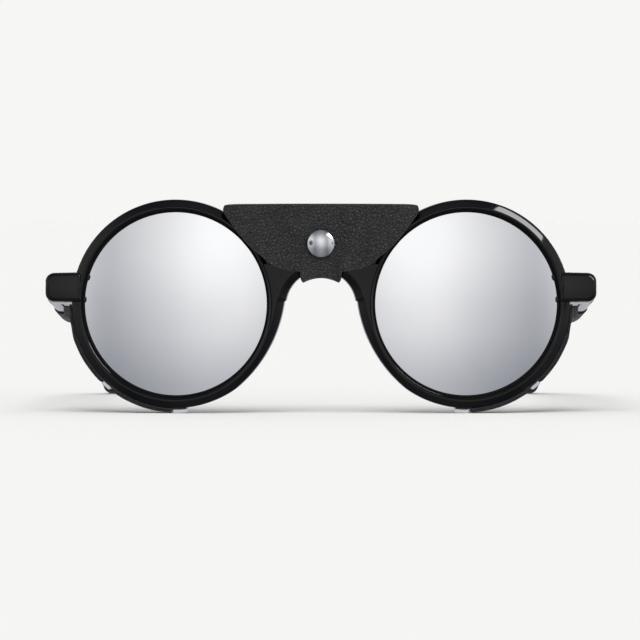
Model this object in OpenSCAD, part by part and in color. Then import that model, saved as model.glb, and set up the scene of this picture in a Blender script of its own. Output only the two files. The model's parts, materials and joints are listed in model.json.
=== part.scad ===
// Round glacier glasses with leather side shields and a leather nose piece.
// X runs across the face, Y runs back along the temples, Z is up, and the glasses stand on Z = 0.
// The wearer faces -Y, so the wearer's left is +X. Depths are counted from the bridge's front face.

/* [Front] */
// Distance from the middle of the glasses to a lens centre, seen from the front
lens_x = 37.6; // [36:0.1:39]
// Height of the lens centres above the table
lens_z = 28.15; // [28.1:0.05:28.6]
// Outer radius of the rims
rim_r = 26.85; // [26.6:0.05:27.0]
// Front to back thickness of the front
front_t = 4.6; // [4.4:0.1:5]
// Angle by which each side of the front turns back
wrap_angle = 5; // [4:0.5:6]
// Width of the bevel along the front's outline
bevel_w = 1.9; // [1.2:0.1:2.2]
// Depth of that bevel
bevel_t = 0.8; // [0.4:0.1:1]
// Radius of the nose arch
arch_r = 9.3; // [9:0.1:9.6]
// Height of the nose arch's centre
arch_z = 27.4; // [27:0.1:28]

/* [Lenses] */
// Radius of the lens opening
opening_r = 23.65; // [23.4:0.05:23.8]
// Radius of the front surface's curve
lens_curve_r = 130; // [100:1:160]
// Thickness of a lens
lens_t = 2.0; // [1.8:0.1:2.2]

/* [Temples] */
// Distance from the middle to the temples' outer faces
temple_x = 71; // [70.5:0.1:72]
// Thickness of a temple
temple_t = 4.0; // [3.6:0.1:4.2]
// Height of a temple at its hinge
temple_h = 7.5; // [7.2:0.1:8]
// Height of a temple behind the ear
temple_tip_h = 6.8; // [6:0.1:7]
// Angle by which the temples slope down towards the ears
temple_slope = 5; // [4.5:0.5:5.5]
// Length of the straight stretch of a temple
straight_len = 86; // [80:1:88]
// Radius of the bend behind the ear
ear_r = 38; // [34:1:42]
// Angle at which the tips point down
tip_angle = 47; // [42:1:52]
// Radius of the inward curve of the temples' rear halves
inward_r = 168; // [150:1:200]

/* [Nose piece] */
// Half width of the flap at its top
flap_half_w = 24.9; // [23:0.1:26]
// Height of the flap's top edge above the table
flap_top = 53.9; // [52:0.1:55]
// Thickness of the leather
leather_t = 1.3; // [1.0:0.1:1.5]
// Width of the strap round the bridge
strap_w = 9.6; // [9:0.1:10.4]
// Radius of the press stud's cap
cap_r = 3.5; // [3:0.1:4]
// Height of the press stud above the table
snap_z = 43.7; // [43.4:0.1:44.5]

/* [Side shields] */
// Depth of a shield behind the front at the temple
shield_depth = 24; // [18:0.5:25]
// Height of a shield's upper edge above the table
shield_top = 22.6; // [20:0.1:22.8]
// Thickness of the shields' leather
shield_t = 0.8; // [0.6:0.1:0.8]

/* [Hidden] */
$fn = 96;
left = 1;
right = -1;

// a small distance by which cutting shapes pass the faces that they cut
past = 1;
// gap between pieces that lie against each other
seat = 0.05;
// gap between pieces that move against each other
clear = 0.3;
// length by which two stretches of one piece run into each other
lap = 0.3;

// the front
lens_u = lens_x / cos(wrap_angle);
ridge_r = 25.0;
groove_r = 24.5;
groove_front = 1.45;
groove_back = 3.95;
edge_c = 0.4;
flare_r = 35;
flare_x = 44.3;
flare_z = 33.4;
bar_top = 40;
bar_top_r = 30;

// the lenses, in each rim's own frame
lens_edge_r = groove_r - 0.1;
lens_pole = groove_front - (lens_curve_r - sqrt(pow(lens_curve_r, 2) - pow(opening_r, 2)));

// the end pieces and hinges, in a frame that slopes with the temples
end_y = 4.7;
end_z = 32.65;
end_len = 10;
end_in_x = 59;
end_corner_r = 2;
hinge_x = 65.2;
hinge_y = end_len + 2.6;
knuckle_r = 1.5;
knuckle_h = 2.2;
knuckle_gap = 0.1;
pin_r = 0.6;
pin_bore_r = 0.65;
leaf_t = 0.8;
leaf_h = 5.6;
temple_in_x = temple_x - temple_t;

// the temples
temple_start = end_len + 0.25;
tip_r = temple_tip_h / 2;
straight_end_y = temple_start + straight_len;
ear_sweep = tip_angle - temple_slope;
ear_end_y = straight_end_y + ear_r * sin(ear_sweep);
ear_end_z = -ear_r * (1 - cos(ear_sweep));
world_ear_y = end_y + ear_end_y * cos(temple_slope) + ear_end_z * sin(temple_slope);
world_ear_z = end_z - ear_end_y * sin(temple_slope) + ear_end_z * cos(temple_slope);
tip_len = (world_ear_z - tip_r) / sin(tip_angle);
temple_back = world_ear_y + tip_len * cos(tip_angle) + tip_r;
inward_start = 76;
inward_sweep = 27;
core_t = 1.2;
core_h = 2.4;
core_start = temple_start + 14;
core_len = 44;

// the nose piece
flap_front = -clear - leather_t;
cap_h = 1.7;
socket_t = 1.6;
stud_flange_t = 0.4;
post_r = 1.0;
post_bore_r = 1.05;
strap_y = socket_t + 0.3;
strap_rise = strap_y + leather_t - 0.1;
strap_in = front_t + clear + strap_w / 2 * sin(wrap_angle);
strap_back = strap_in + leather_t;
flap_flat_x = 6;
flap_turn = wrap_angle + 1.5;
saddle_out_r = arch_r - 0.25;
saddle_in_r = saddle_out_r - leather_t;
strap_top = bar_top + 0.75;

// the shields, in each rim's own frame
stay_r = rim_r + seat;
stay_t = 0.35;
shell_r = stay_r + stay_t + seat;
shell_out_r = shell_r + shield_t;
shell_front = 1.2;
clip_from = 46.5;
clip_to = 52.5;
foot_from = 88.5;
foot_to = 96;
rivet_y = 3.2;
rivet_angles = [24, 38, 62, 78];

// the whole model is moved so that Y = 0 lies half-way along it
y_shift = -(temple_back + flap_front - cap_h) / 2;

// points along an arc
function arc(x, y, r, from, to, steps) =
  [for (i = [0:steps]) let (a = from + (to - from) * i / steps) [x + r * cos(a), y + r * sin(a)]];

module place() {
  translate([0, y_shift, 0]) children();
}

module on_side(side) {
  if (side == right) mirror([1, 0, 0]) children();
  else children();
}

// the frame of one rim: Y is its axis, and the origin is the bridge's front face
module rim_frame(side) {
  place() on_side(side) rotate([0, 0, wrap_angle]) children();
}

// turns a shape made about Z so that its axis lies along Y at a point of the rim's plane
module about_y(x, z) {
  translate([x, 0, z]) rotate([-90, 0, 0]) children();
}

// the frame of one temple: it slopes down with Y, and Z = 0 is the temple's middle
module temple_frame(side) {
  place() on_side(side) translate([0, end_y, end_z]) rotate([-temple_slope, 0, 0]) children();
}

// a side outline drawn in Y and Z becomes a solid from x_from to x_to
module across(x_from, x_to) {
  translate([x_from, 0, 0]) rotate([90, 0, 90]) linear_extrude(x_to - x_from) children();
}

// a front outline drawn in X and Z becomes a solid from y_from to y_to
module deep(y_from, y_to) {
  translate([0, y_to, 0]) rotate([90, 0, 0]) linear_extrude(y_to - y_from) children();
}

// the solid disc of a rim or flare, with its front bevel and a small rear chamfer
module bevelled_disc(r) {
  rotate_extrude()
    polygon([[0, 0], [r - bevel_w, 0], [r, bevel_t], [r, front_t - edge_c],
      [r - edge_c, front_t], [0, front_t]]);
}

module lens_opening() {
  rotate_extrude()
    polygon([[0, -8], [ridge_r, -8], [ridge_r, 0], [groove_r, 0.35], [groove_r - 0.2, 1.0],
      [opening_r, groove_front - 0.2], [groove_r, groove_front], [groove_r, groove_back],
      [opening_r, groove_back], [opening_r, 12], [0, 12]]);
}

module arch_cut() {
  rotate_extrude()
    polygon([[0, -past], [arch_r + bevel_w, -past], [arch_r + bevel_w, 0], [arch_r, bevel_t],
      [arch_r, front_t + past], [0, front_t + past]]);
}

// bridge bar, nose arch and nasal flare of one side
module bridge_half() {
  difference() {
    translate([-0.5, 0, 29]) cube([16.5, front_t, 15]);
    about_y(0, arch_z) arch_cut();
    translate([0, -past, bar_top + bar_top_r]) rotate([-90, 0, 0])
      cylinder(r = bar_top_r, h = front_t + 2 * past);
  }
  intersection() {
    about_y(flare_x, flare_z) bevelled_disc(flare_r);
    translate([0, 0, 8]) cube([22, front_t, 28]);
  }
}

module end_piece() {
  intersection() {
    translate([0, 0, -temple_h / 2]) linear_extrude(temple_h) {
      polygon([[end_in_x, 0], [temple_x - end_corner_r, 0.8], [temple_x, 0.8 + end_corner_r],
        [temple_x, end_len], [end_in_x, end_len]]);
      translate([temple_x - end_corner_r, 0.8 + end_corner_r]) circle(r = end_corner_r);
    }
    deep(-past, end_len + past) {
      translate([end_in_x - 1, -temple_h / 2])
        square([temple_x - end_corner_r - end_in_x + 1, temple_h]);
      translate([temple_x - end_corner_r - 1, end_corner_r - temple_h / 2])
        square([end_corner_r + 1, temple_h - 2 * end_corner_r]);
      for (s = [-1, 1])
        translate([temple_x - end_corner_r, s * (temple_h / 2 - end_corner_r)])
          circle(r = end_corner_r);
    }
  }
}

module front_half(side) {
  difference() {
    union() {
      rim_frame(side) {
        about_y(lens_u, lens_z) bevelled_disc(rim_r);
        bridge_half();
      }
      temple_frame(side) end_piece();
    }
    rim_frame(side) about_y(lens_u, lens_z) lens_opening();
    temple_frame(side) leaf_screw_holes_front();
  }
}

module front_frame() {
  color([0.03, 0.03, 0.035]) {
    front_half(left);
    front_half(right);
  }
}

module lens(side) {
  color([0.78, 0.8, 0.83])
    rim_frame(side) translate([lens_u, lens_pole, lens_z]) rotate([-90, 0, 0])
      intersection() {
        difference() {
          translate([0, 0, lens_curve_r]) sphere(r = lens_curve_r, $fn = 200);
          translate([0, 0, lens_curve_r]) sphere(r = lens_curve_r - lens_t, $fn = 200);
        }
        translate([0, 0, -past]) cylinder(r = lens_edge_r, h = 12);
      }
}

// hinge: two knuckles on the front leaf hold the temple leaf's middle knuckle
module knuckle(z_from, h) {
  translate([hinge_x, hinge_y, z_from]) cylinder(r = knuckle_r, h = h);
}

module pin_bore(r) {
  translate([hinge_x, hinge_y, -10]) cylinder(r = r, h = 20);
}

// places of the two screws that hold each leaf
module at_front_leaf_screws() {
  for (z = [-1.7, 1.7])
    translate([61.2, end_len + seat, z]) rotate([-90, 0, 0]) children();
}

module at_temple_leaf_screws() {
  for (y = [hinge_y + 5, hinge_y + 9])
    translate([temple_in_x - seat, y, 0]) rotate([0, -90, 0]) children();
}

module leaf_screw_holes_front() {
  at_front_leaf_screws() translate([0, 0, -2.6]) cylinder(r = 0.5, h = 3);
}

module hinge_front_leaf(side) {
  color([0.72, 0.72, 0.74]) temple_frame(side) difference() {
    union() {
      translate([59.6, end_len + seat, -leaf_h / 2]) cube([6.9, leaf_t, leaf_h]);
      for (s = [-1, 1])
        mirror([0, 0, s < 0 ? 1 : 0]) {
          knuckle(knuckle_h / 2 + knuckle_gap, leaf_h / 2 - knuckle_h / 2 - knuckle_gap);
          translate([hinge_x - 1, end_len + seat + 0.2, knuckle_h / 2 + knuckle_gap])
            cube([2, 2.4, leaf_h / 2 - knuckle_h / 2 - knuckle_gap]);
        }
    }
    pin_bore(pin_bore_r);
    at_front_leaf_screws() translate([0, 0, -past]) cylinder(r = 0.55, h = 3);
  }
}

module hinge_temple_leaf(side) {
  color([0.72, 0.72, 0.74]) temple_frame(side) difference() {
    union() {
      translate([temple_in_x - seat - leaf_t, hinge_y + 2.2, -leaf_h / 2 + 0.2])
        cube([leaf_t, 9, leaf_h - 0.4]);
      knuckle(-knuckle_h / 2, knuckle_h);
      translate([hinge_x, hinge_y, -knuckle_h / 2])
        cube([temple_in_x - seat - hinge_x, 3.2, knuckle_h]);
    }
    pin_bore(pin_bore_r);
    at_temple_leaf_screws() translate([0, 0, -past]) cylinder(r = 0.55, h = 3);
  }
}

module hinge_screw(side) {
  color([0.55, 0.55, 0.57]) temple_frame(side) translate([hinge_x, hinge_y, 0]) difference() {
    union() {
      translate([0, 0, -leaf_h / 2 - 0.3]) cylinder(r = pin_r, h = leaf_h + 0.4);
      translate([0, 0, leaf_h / 2 + seat]) cylinder(r = 1.15, h = 0.6);
    }
    translate([-2, -0.15, leaf_h / 2 + seat + 0.3]) cube([4, 0.3, 1]);
  }
}

module leaf_screw() {
  difference() {
    union() {
      translate([0, 0, -2.2]) cylinder(r = 0.45, h = 3.2);
      translate([0, 0, leaf_t + seat]) cylinder(r = 0.9, h = 0.4);
    }
    translate([-2, -0.12, leaf_t + 0.25]) cube([4, 0.24, 1]);
  }
}

module front_leaf_screws(side) {
  color([0.6, 0.6, 0.62]) temple_frame(side) at_front_leaf_screws() leaf_screw();
}

module temple_leaf_screws(side) {
  color([0.6, 0.6, 0.62]) temple_frame(side) at_temple_leaf_screws() leaf_screw();
}

// temple: a side outline and a plan outline cut each other
module temple_side_outline() {
  tip_y = ear_end_y + tip_len * cos(ear_sweep);
  tip_z = ear_end_z - tip_len * sin(ear_sweep);
  polygon(concat(
    [[temple_start, temple_h / 2]],
    arc(straight_end_y, -ear_r, ear_r + tip_r, 90, 90 - ear_sweep, 20),
    arc(tip_y, tip_z, tip_r, 90 - ear_sweep, -90 - ear_sweep, 16),
    arc(straight_end_y, -ear_r, ear_r - tip_r, 90 - ear_sweep, 90, 20),
    [[temple_start, -temple_h / 2]]));
}

module temple_plan_outline() {
  polygon(concat(
    [[temple_in_x, temple_start - past], [temple_x, temple_start - past]],
    arc(temple_x - inward_r, inward_start, inward_r, 0, inward_sweep, 16),
    arc(temple_x - inward_r, inward_start, inward_r - temple_t, inward_sweep, 0, 16)));
}

module core_shape(gap) {
  translate([temple_in_x + (temple_t - core_t) / 2 - gap, core_start - gap, -core_h / 2 - gap])
    cube([core_t + 2 * gap, core_len + 2 * gap, core_h + 2 * gap]);
}

module temple(side) {
  color([0.03, 0.03, 0.035]) temple_frame(side) difference() {
    intersection() {
      across(20, temple_x + past) temple_side_outline();
      translate([0, 0, -60]) linear_extrude(80) temple_plan_outline();
    }
    core_shape(seat);
    at_temple_leaf_screws() translate([0, 0, -2.6]) cylinder(r = 0.5, h = 3);
  }
}

module temple_core(side) {
  color([0.6, 0.61, 0.63]) temple_frame(side) core_shape(0);
}

// nose piece
module flap_outline() {
  polygon([[-0.5, 36.75], [5.4, 36.75], [9.8, 37.2], [12.7, 38.5], [18.4, 43.4], [23.2, 49.3],
    [24.6, 51.4], [flap_half_w, 52.4], [flap_half_w - 0.3, flap_top - 0.5], [12, flap_top + 0.1],
    [-0.5, flap_top + 0.3]]);
}

// the flap is flat round the press stud, and its sides turn back with the rims
module flap_half() {
  deep(flap_front, -clear) intersection() {
    flap_outline();
    translate([-1, 0]) square([flap_flat_x + 1, 80]);
  }
  translate([flap_flat_x, 0, 0]) rotate([0, 0, flap_turn]) deep(flap_front, -clear)
    translate([-flap_flat_x, 0]) intersection() {
      flap_outline();
      translate([flap_flat_x - lap / 2, 0]) square([80, 80]);
    }
}

module nose_flap() {
  color([0.06, 0.06, 0.06]) place() difference() {
    for (side = [left, right])
      on_side(side) flap_half();
    snap_bore();
  }
}

module snap_bore() {
  about_y(0, snap_z) translate([0, 0, -5]) cylinder(r = post_bore_r, h = 14);
}

module strap_front_outline() {
  difference() {
    polygon([[-5.2, 36.1], [-4.6, 33], [4.6, 33], [5.2, 36.1]]);
    translate([0, arch_z]) circle(r = saddle_in_r);
  }
}

module saddle_outline() {
  intersection() {
    difference() {
      translate([0, arch_z]) circle(r = saddle_out_r);
      translate([0, arch_z]) circle(r = saddle_in_r);
    }
    translate([-strap_w / 2, arch_z]) square([strap_w, 12]);
  }
}

module nose_strap() {
  color([0.06, 0.06, 0.06]) place() difference() {
    union() {
      deep(flap_front, -clear) strap_front_outline();
      deep(flap_front, strap_back) saddle_outline();
      deep(strap_in, strap_back) difference() {
        translate([-strap_w / 2, arch_z + 6]) square([strap_w, strap_top - arch_z - 6]);
        translate([0, arch_z]) circle(r = saddle_in_r);
      }
      translate([-strap_w / 2, strap_y, strap_top - 0.01])
        cube([strap_w, strap_back - strap_y, leather_t]);
      deep(strap_y, strap_rise) {
        translate([-strap_w / 2, strap_top]) square([strap_w, snap_z - strap_top]);
        intersection() {
          translate([0, snap_z]) circle(r = strap_w / 2);
          translate([-strap_w / 2, snap_z - lap]) square([strap_w, strap_w]);
        }
      }
    }
    snap_bore();
  }
}

// press stud, along Y at the snap's height
module snap_cap() {
  color([0.8, 0.8, 0.82]) place() about_y(0, snap_z) {
    translate([0, 0, flap_front - cap_h]) intersection() {
      translate([0, 0, 4.4]) sphere(r = 4.4);
      cylinder(r = cap_r, h = cap_h - seat);
    }
    translate([0, 0, flap_front - 0.3]) cylinder(r = post_r, h = leather_t + 0.7);
  }
}

module snap_socket() {
  color([0.75, 0.75, 0.77]) place() about_y(0, snap_z) difference() {
    translate([0, 0, -clear + seat]) cylinder(r = 3.1, h = socket_t);
    translate([0, 0, 0.2]) cylinder(r = 1.9, h = 3);
    translate([0, 0, -2]) cylinder(r = post_bore_r, h = 4);
  }
}

module snap_spring() {
  color([0.7, 0.7, 0.72]) place() about_y(0, snap_z) translate([0, 0, 1.13])
    rotate_extrude() translate([1.65, 0]) circle(r = 0.18);
}

module snap_stud() {
  color([0.75, 0.75, 0.77]) place() about_y(0, snap_z) {
    translate([0, 0, strap_y - seat - stud_flange_t]) cylinder(r = 3, h = stud_flange_t);
    translate([0, 0, 0.8]) cylinder(r = 1.15, h = 0.8);
    translate([0, 0, 0.45]) cylinder(r = 1.5, h = 0.45);
    translate([0, 0, strap_y - 0.2]) cylinder(r = post_r, h = leather_t + 0.5);
  }
}

module snap_eyelet() {
  color([0.75, 0.75, 0.77]) place() about_y(0, snap_z) difference() {
    translate([0, 0, strap_rise + seat]) cylinder(r = 1.6, h = 0.5);
    translate([0, 0, strap_rise - past]) cylinder(r = post_bore_r, h = 3);
  }
}

// a sector of a ring about a lens, whose angles are counted downwards from the temple side
module ring_sector(r_in, r_out, from, to) {
  difference() {
    intersection() {
      circle(r = r_out);
      polygon([[0, 0], [60 * cos(from), -60 * sin(from)],
        [60 * cos((from + to) / 2), -60 * sin((from + to) / 2)], [60 * cos(to), -60 * sin(to)]]);
    }
    circle(r = r_in);
  }
}

module lens_sector(side, r_in, r_out, from, to, y_from, y_to) {
  rim_frame(side) deep(y_from, y_to) translate([lens_u, lens_z])
    ring_sector(r_in, r_out, from, to);
}

module shield_side_outline() {
  polygon([[shell_front, shield_top], [shield_depth - 5, shield_top],
    [shield_depth, shield_top - 5], [shield_depth - 4, 12], [13, 5.2], [6, 0.3], [6, -3],
    [shell_front, -3]]);
  translate([shield_depth - 5, shield_top - 5]) circle(r = 5);
}

module at_rivets() {
  for (a = rivet_angles)
    about_y(lens_u, lens_z) rotate([0, 0, a]) translate([0, 0, rivet_y]) rotate([0, 90, 0])
      children();
}

module shield(side) {
  color([0.07, 0.065, 0.06]) difference() {
    intersection() {
      lens_sector(side, shell_r, shell_out_r, 8, foot_from - 1, 0, 30);
      rim_frame(side) across(0, 90) shield_side_outline();
    }
    lens_sector(side, shell_r - 1, shell_out_r + 1, clip_from - 0.5, clip_to + 4, -1, 6);
    rim_frame(side) at_rivets() {
      cylinder(r = 0.5, h = 40);
      translate([0, 0, shell_out_r - 0.35]) cylinder(r = 0.95, h = 2);
    }
  }
}

module shield_stay(side) {
  color([0.72, 0.72, 0.74]) difference() {
    union() {
      lens_sector(side, stay_r, stay_r + stay_t, 16, foot_to, shell_front, shell_front + 4);
      lens_sector(side, stay_r + stay_t / 2, lens_z, clip_from, clip_to, shell_front, 5.2);
      lens_sector(side, stay_r + stay_t / 2, lens_z, foot_from, foot_to, shell_front, 5.2);
    }
    rim_frame(side) at_rivets() cylinder(r = 0.5, h = 40);
  }
}

module shield_rivets(side) {
  color([0.7, 0.7, 0.72]) rim_frame(side) at_rivets() {
    translate([0, 0, stay_r + seat]) cylinder(r = 0.45, h = shell_out_r - 0.3 - stay_r - seat);
    translate([0, 0, shell_out_r - 0.32]) cylinder(r = 0.9, h = 0.34);
  }
}

front_frame();
lens(left);  // lens_left
lens(right);  // lens_right
hinge_front_leaf(left);  // hinge_front_leaf_left
hinge_front_leaf(right);  // hinge_front_leaf_right
hinge_temple_leaf(left);  // hinge_temple_leaf_left
hinge_temple_leaf(right);  // hinge_temple_leaf_right
hinge_screw(left);  // hinge_screw_left
hinge_screw(right);  // hinge_screw_right
front_leaf_screws(left);  // front_leaf_screws_left
front_leaf_screws(right);  // front_leaf_screws_right
temple_leaf_screws(left);  // temple_leaf_screws_left
temple_leaf_screws(right);  // temple_leaf_screws_right
temple(left);  // temple_left
temple(right);  // temple_right
temple_core(left);  // temple_core_left
temple_core(right);  // temple_core_right
nose_flap();
nose_strap();
snap_cap();
snap_socket();
snap_spring();
snap_stud();
snap_eyelet();
shield(left);  // shield_left
shield(right);  // shield_right
shield_stay(left);  // shield_stay_left
shield_stay(right);  // shield_stay_right
shield_rivets(left);  // shield_rivets_left
shield_rivets(right);  // shield_rivets_right
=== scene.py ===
"""Glacier glasses: detailed meshes, materials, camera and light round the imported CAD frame."""

import json
import math
from math import cos, sin, pi, radians, sqrt

import bmesh
import bpy
from mathutils import Matrix, Vector, noise


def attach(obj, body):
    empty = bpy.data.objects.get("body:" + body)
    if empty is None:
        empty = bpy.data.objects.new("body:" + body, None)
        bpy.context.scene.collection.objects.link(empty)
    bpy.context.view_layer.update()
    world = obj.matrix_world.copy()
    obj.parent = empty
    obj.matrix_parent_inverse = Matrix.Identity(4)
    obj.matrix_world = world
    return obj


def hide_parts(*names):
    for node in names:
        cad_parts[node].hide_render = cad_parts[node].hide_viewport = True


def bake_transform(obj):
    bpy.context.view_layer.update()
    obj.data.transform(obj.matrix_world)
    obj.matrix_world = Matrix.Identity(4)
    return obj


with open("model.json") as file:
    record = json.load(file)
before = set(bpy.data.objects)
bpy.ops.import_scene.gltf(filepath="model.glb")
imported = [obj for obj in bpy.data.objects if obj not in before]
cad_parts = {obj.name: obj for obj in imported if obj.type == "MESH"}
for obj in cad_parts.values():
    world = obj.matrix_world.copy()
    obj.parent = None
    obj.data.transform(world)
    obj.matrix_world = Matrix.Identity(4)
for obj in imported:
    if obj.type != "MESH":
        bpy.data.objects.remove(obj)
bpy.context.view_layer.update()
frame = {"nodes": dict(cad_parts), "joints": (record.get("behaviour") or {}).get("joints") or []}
JOINTS = {j["name"]: j for j in frame["joints"]}
MM = 0.001

# sizes that the CAD model has, in millimetres and radians
WRAP = radians(5)
SLOPE = radians(5)
LENS_X, LENS_Z = 37.6, 28.15
RIM_R, RIM_T = 26.85, 4.6
OPENING_R, GROOVE_R = 23.65, 24.5
GROOVE_FRONT, GROOVE_BACK = 1.45, 3.95
LENS_CURVE_R, LENS_T = 130.0, 2.0
ARCH_R, ARCH_Z = 9.3, 27.4
FLARE_R, FLARE_X, FLARE_Z = 35.0, 44.3, 33.4
BAR_TOP, BAR_TOP_R = 40.0, 30.0
END_Y, END_Z, END_LEN = 4.7, 32.65, 10.0
TEMPLE_X, TEMPLE_T, TEMPLE_H, TIP_R = 71.0, 4.0, 7.5, 3.4
TEMPLE_START = END_LEN + 0.25
STRAIGHT_LEN, EAR_R, EAR_SWEEP = 86.0, 38.0, radians(42)
INWARD_START, INWARD_R = 76.0, 168.0
LEATHER_T, LEATHER_GAP = 1.3, 0.3
SNAP_Z, CAP_R = 43.7, 3.5

# sizes of what only the looks have: two lugs over each lens, at degrees above its middle,
# and the rubber sleeves of the temples
LUG_ANGLES, LUG_SIZE, LUG_DEPTH = (2.6, 16.6), (0.85, 0.48, 0.22), 1.08
SLEEVE_START, SLEEVE_T, SLEEVE_LIP = 47.0, 0.4, 0.15

LENS_U = LENS_X / cos(WRAP)
# the flap turns about the front of its leather, which places the bridge's front face
FLAP_FRONT = -LEATHER_GAP - LEATHER_T
FLAP_MIDDLE = -LEATHER_GAP - LEATHER_T / 2
Y_SHIFT = JOINTS["nose_flap_open"]["pos_m"][1] / MM - FLAP_FRONT
LENS_POLE = GROOVE_FRONT - (LENS_CURVE_R - sqrt(LENS_CURVE_R**2 - OPENING_R**2))

LEFT, RIGHT = 1, -1
SIDES = {"left": LEFT, "right": RIGHT}


# ---------------------------------------------------------------- frames of reference
def metres(x, y, z):
    """A point in millimetres, counted from the bridge's front face, in the row frame."""
    return Vector((x * MM, (y + Y_SHIFT) * MM, z * MM))


def rim_point(side, u, y, z):
    """A point in the frame of one rim, which turns back by WRAP."""
    return metres(side * (u * cos(WRAP) - y * sin(WRAP)), u * sin(WRAP) + y * cos(WRAP), z)


def temple_point(side, x, y, z):
    """A point in the frame of one temple, which slopes down by SLOPE."""
    return metres(side * x, END_Y + y * cos(SLOPE) + z * sin(SLOPE),
                  END_Z - y * sin(SLOPE) + z * cos(SLOPE))


# ---------------------------------------------------------------- node materials
class Tree:
    """Adds and joins the nodes of one node tree with short calls."""

    def __init__(self, owner):
        owner.use_nodes = True
        self.tree = owner.node_tree
        self.tree.nodes.clear()

    def add(self, kind, **values):
        node = self.tree.nodes.new("ShaderNode" + kind)
        for key, value in values.items():
            setattr(node, key, value)
        return node

    def put(self, value, socket):
        """Links another node's output to the socket, or writes a constant into it."""
        if isinstance(value, bpy.types.NodeSocket):
            self.tree.links.new(value, socket)
        else:
            socket.default_value = value

    def feed(self, node, **inputs):
        """Fills a node's named inputs, where an underscore stands for a space."""
        for key, value in inputs.items():
            self.put(value, node.inputs[key.replace("_", " ")])
        return node

    def position(self, scale=(1, 1, 1)):
        """The place on the object, in metres, times the scale."""
        mapping = self.add("Mapping")
        self.feed(mapping, Vector=self.add("TexCoord").outputs["Object"], Scale=scale)
        return mapping.outputs[0]

    def noise(self, vector, scale, detail=4, roughness=0.5, distortion=0.0):
        node = self.add("TexNoise")
        self.feed(node, Vector=vector, Scale=scale, Detail=detail, Roughness=roughness,
                  Distortion=distortion)
        return node.outputs["Fac"]

    def cells(self, vector, scale, feature):
        node = self.add("TexVoronoi", feature=feature)
        self.feed(node, Vector=vector, Scale=scale)
        if feature == "SMOOTH_F1":
            self.feed(node, Smoothness=0.6)
        return node.outputs["Distance"]

    def ramp(self, fac, stops, interpolation="LINEAR"):
        node = self.add("ValToRGB")
        elements = node.color_ramp.elements
        while len(elements) < len(stops):
            elements.new(0.5)
        for element, (place, colour) in zip(elements, stops):
            element.position = place
            element.color = (*colour, 1)
        node.color_ramp.interpolation = interpolation
        self.put(fac, node.inputs["Fac"])
        return node.outputs["Color"]

    def grey(self, fac, low, high, start=0.0, end=1.0, kind="LINEAR"):
        """fac from start to end becomes low to high."""
        node = self.add("MapRange", interpolation_type=kind)
        self.feed(node, Value=fac, From_Min=start, From_Max=end, To_Min=low, To_Max=high)
        return node.outputs["Result"]

    def math(self, operation, a, b=0.0):
        node = self.add("Math", operation=operation)
        self.put(a, node.inputs[0])
        self.put(b, node.inputs[1])
        return node.outputs[0]

    def bump(self, height, distance, strength=1.0, under=None):
        node = self.add("Bump")
        self.feed(node, Height=height, Distance=distance, Strength=strength)
        if under is not None:
            self.put(under, node.inputs["Normal"])
        return node.outputs[0]


class Nodes(Tree):
    """One new node material round a Principled shader."""

    def __init__(self, name):
        self.material = bpy.data.materials.new(name)
        super().__init__(self.material)
        self.shader = self.add("BsdfPrincipled")
        self.feed(self.add("OutputMaterial"), Surface=self.shader.outputs[0])


def black_plastic():
    """Polished black moulding with faint swirls from handling."""
    m = Nodes("polished_black")
    place = m.position()
    swirl = m.noise(place, 180, 5, 0.6, 0.4)
    fine = m.noise(place, 2600, 3)
    colour = m.ramp(swirl, [(0.3, (0.001, 0.001, 0.0011)), (0.75, (0.0022, 0.0022, 0.0024))])
    m.feed(m.shader, Base_Color=colour, Roughness=m.grey(swirl, 0.04, 0.09, 0.3, 0.75),
           Normal=m.bump(fine, 0.000003, 0.2), IOR=1.37)
    return m.material


def painted_shade_seat():
    """Dull black with weak reflections on steps round the lens opening: painted shade for the dark
    lines there.
    """
    m = Nodes("matt_black_painted_shade")
    grain = m.noise(m.position(), 3800, 3)
    m.feed(m.shader, Base_Color=m.ramp(grain, [(0.3, (0.0012, 0.0012, 0.0012)),
                                               (0.7, (0.0024, 0.0024, 0.0024))]),
           Roughness=m.grey(grain, 0.75, 0.9, 0.3, 0.7), Normal=m.bump(grain, 0.00001, 0.4),
           IOR=1.2)
    return m.material


def matt_sleeve():
    """Moulded rubber with a fine sand texture, rubbed smoother in places."""
    m = Nodes("matt_rubber")
    place = m.position()
    sand, rubbed = m.noise(place, 5200, 3, 0.7), m.noise(place, 90, 3)
    m.feed(m.shader, Base_Color=m.ramp(rubbed, [(0.3, (0.009, 0.009, 0.009)),
                                                (0.7, (0.014, 0.014, 0.0145))]),
           Roughness=m.grey(rubbed, 0.62, 0.5, 0.3, 0.7), Normal=m.bump(sand, 0.00003, 0.5),
           IOR=1.42)
    return m.material


def lens_mirror():
    """Silver mirror coat with the faint unevenness of a vapour deposit."""
    m = Nodes("silver_mirror")
    place = m.position()
    cloud = m.noise(place, 60, 3)
    colour = m.ramp(cloud, [(0.3, (0.835, 0.84, 0.855)), (0.7, (0.87, 0.873, 0.885))])
    m.feed(m.shader, Base_Color=colour, Roughness=m.grey(cloud, 0.015, 0.03, 0.3, 0.7),
           Metallic=1.0, Coat_Weight=0.2, Coat_Roughness=0.01)
    return m.material


def lens_back():
    """The lens's unmirrored rear face: dark smoke grey under a hard clear coat."""
    m = Nodes("smoke_lens_back")
    cloud = m.noise(m.position(), 45, 3)
    m.feed(m.shader, Base_Color=m.ramp(cloud, [(0.3, (0.012, 0.0125, 0.014)),
                                               (0.7, (0.018, 0.0185, 0.02))]),
           Roughness=m.grey(cloud, 0.02, 0.05, 0.3, 0.7), IOR=1.5)
    return m.material


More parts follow.
